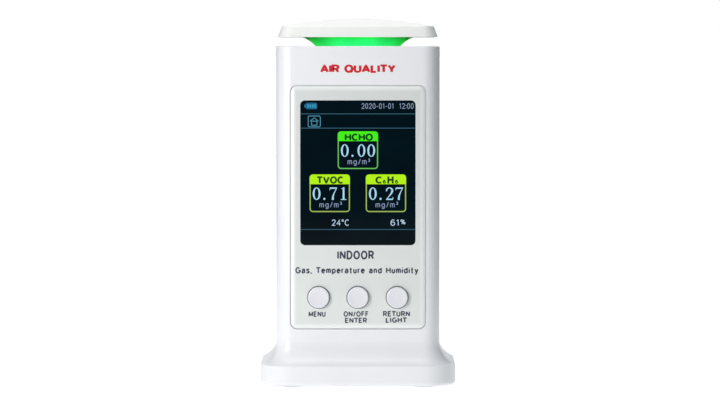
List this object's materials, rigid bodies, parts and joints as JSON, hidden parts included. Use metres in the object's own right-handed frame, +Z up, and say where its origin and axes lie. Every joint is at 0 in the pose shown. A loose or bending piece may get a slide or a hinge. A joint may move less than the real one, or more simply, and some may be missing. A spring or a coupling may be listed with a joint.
{
  "type": "air quality monitor",
  "caption": "Upright desk-top air quality monitor with a flared base, a framed colour display, round push buttons and a lit ring under a domed cap.",
  "frame": {"origin": "middle of the footprint, at the level of the rubber feet's undersides", "axes": "+X to the right seen from the front, +Y to the rear (the display faces -Y), +Z up"},
  "size_m": [0.0748, 0.0602, 0.1411],
  "materials": {
    "shell": "satin white",
    "cap_plastic": "satin white",
    "light_guide": "translucent, lit green",
    "panel": "fine satin grey",
    "tape": "adhesive tape",
    "window": "polished dark lens",
    "foam": "foam",
    "lcd_glass": "polished",
    "lcd_frame": "pressed sheet",
    "tray": "moulded",
    "ribbon": "polyimide film",
    "socket_plastic": "moulded",
    "button": "satin",
    "switch_plastic": "moulded",
    "circuit_board": "solder resist",
    "chip": "moulded",
    "sensor_can": "turned",
    "sensor_gold": "plated",
    "sensor_blue": "moulded",
    "led": "moulded",
    "lead": "insulated wire",
    "fan_plastic": "moulded",
    "copper": "enamelled wire",
    "battery_wrap": "heat-sealed foil",
    "socket_metal": "plated",
    "label": "printed film",
    "rubber": "matt",
    "screw": "plated"
  },
  "bodies": {
    "housing": {"front_shell": "shell", "rear_shell": "shell", "bottom_cover": "shell", "top_deck": "shell", "top_cap": "cap_plastic", "cap_plate": "cap_plastic", "light_guide": "light_guide", "front_panel": "panel", "panel_tape": "tape", "display_window": "window", "lcd_gasket": "foam", "lcd_glass": "lcd_glass", "lcd_backlight": "lcd_frame", "lcd_bracket": "tray", "ribbon_cable": "ribbon", "ribbon_socket": "socket_plastic", "switch_bodies": "switch_plastic", "main_board": "circuit_board", "processor": "chip", "board_parts": "chip", "lead_headers": "socket_plastic", "buzzer": "chip", "formaldehyde_sensor": "sensor_can", "voc_sensor": "sensor_gold", "humidity_sensor": "sensor_blue", "led_board": "circuit_board", "status_leds": "led", "led_lead": "lead", "fan_frame": "fan_plastic", "fan_stator": "copper", "fan_lead": "lead", "battery_pack": "battery_wrap", "battery_tape": "tape", "battery_lead": "lead", "charge_board": "circuit_board", "charge_socket": "socket_metal", "charge_tongue": "switch_plastic", "charge_lead": "lead", "rating_label": "label", "rubber_feet": "rubber", "shell_screws": "screw", "board_screws": "screw", "cover_screws": "screw", "cap_screws": "screw", "fan_screws": "screw", "charge_screws": "screw"},
    "menu_key": {"menu_button": "button", "menu_plunger": "switch_plastic"},
    "power_key": {"power_button": "button", "power_plunger": "switch_plastic"},
    "return_key": {"return_button": "button", "return_plunger": "switch_plastic"},
    "fan_wheel": {"fan_rotor": "fan_plastic"}
  },
  "joints": [
    {"name": "menu_press", "type": "slide", "parent": "housing", "child": "menu_key", "axis": [0, 1, 0], "range_m": [0, 0.0005], "stiffness_N_per_m": 1500, "springref_m": -0.0003},
    {"name": "power_press", "type": "slide", "parent": "housing", "child": "power_key", "axis": [0, 1, 0], "range_m": [0, 0.0005], "stiffness_N_per_m": 1500, "springref_m": -0.0003},
    {"name": "return_press", "type": "slide", "parent": "housing", "child": "return_key", "axis": [0, 1, 0], "range_m": [0, 0.0005], "stiffness_N_per_m": 1500, "springref_m": -0.0003},
    {"name": "fan_spin", "type": "hinge", "parent": "housing", "child": "fan_wheel", "pos_m": [0, 0.016, 0.103], "axis": [0, 1, 0], "continuous": true}
  ]
}
